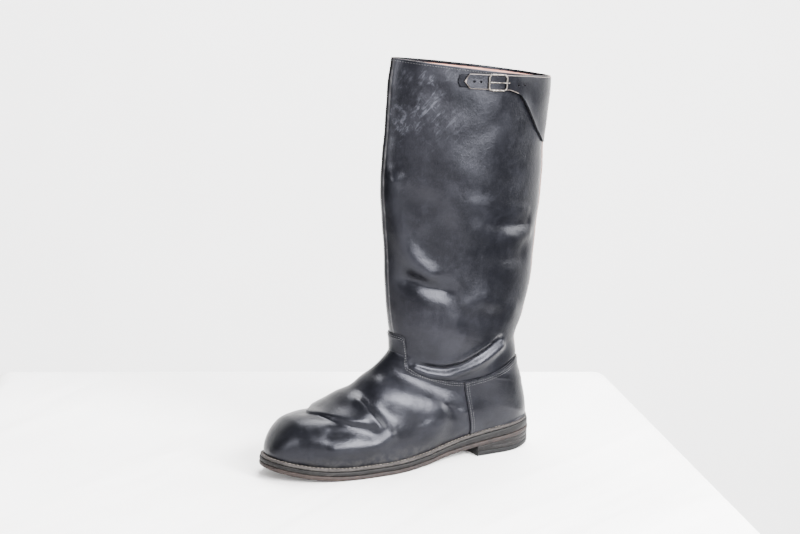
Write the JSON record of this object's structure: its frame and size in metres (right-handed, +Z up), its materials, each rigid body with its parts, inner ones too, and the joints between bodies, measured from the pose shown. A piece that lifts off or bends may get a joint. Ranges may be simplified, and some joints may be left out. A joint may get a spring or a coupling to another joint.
{
  "type": "officer boot",
  "caption": "Tall leather officer boot for the left foot, with a plain vamp, outside counter, strapped shaft top, welted sole and stacked heel.",
  "frame": {"origin": "middle of the bounding box, on the floor under the boot", "axes": "+Z up, -Y towards the toe, +X towards the outer side of the left foot"},
  "size_m": [0.1019, 0.3329, 0.4238],
  "materials": {
    "outsole": "worn edge, dark brown",
    "midsole": "blackened edge",
    "welt": "worn grey brown",
    "heel_lifts": "blackened stacked leather",
    "heel_top_piece": "matte black",
    "insole": "tan, matte",
    "upper": "waxed black, creased",
    "counter": "waxed black",
    "shaft": "waxed black, soft folds",
    "back_strip": "waxed black with a raw edge",
    "strap_panel": "waxed black",
    "chape": "waxed black",
    "buckle_frame": "tarnished",
    "buckle_prong": "tarnished"
  },
  "bodies": {
    "root": {"outsole": "outsole", "midsole": "midsole", "welt": "welt", "heel_lifts": "heel_lifts", "heel_top_piece": "heel_top_piece", "insole": "insole", "upper": "upper", "counter": "counter", "shaft": "shaft", "back_strip": "back_strip", "strap_panel": "strap_panel", "chape": "chape", "buckle_frame": "buckle_frame", "buckle_prong": "buckle_prong"}
  },
  "joints": []
}
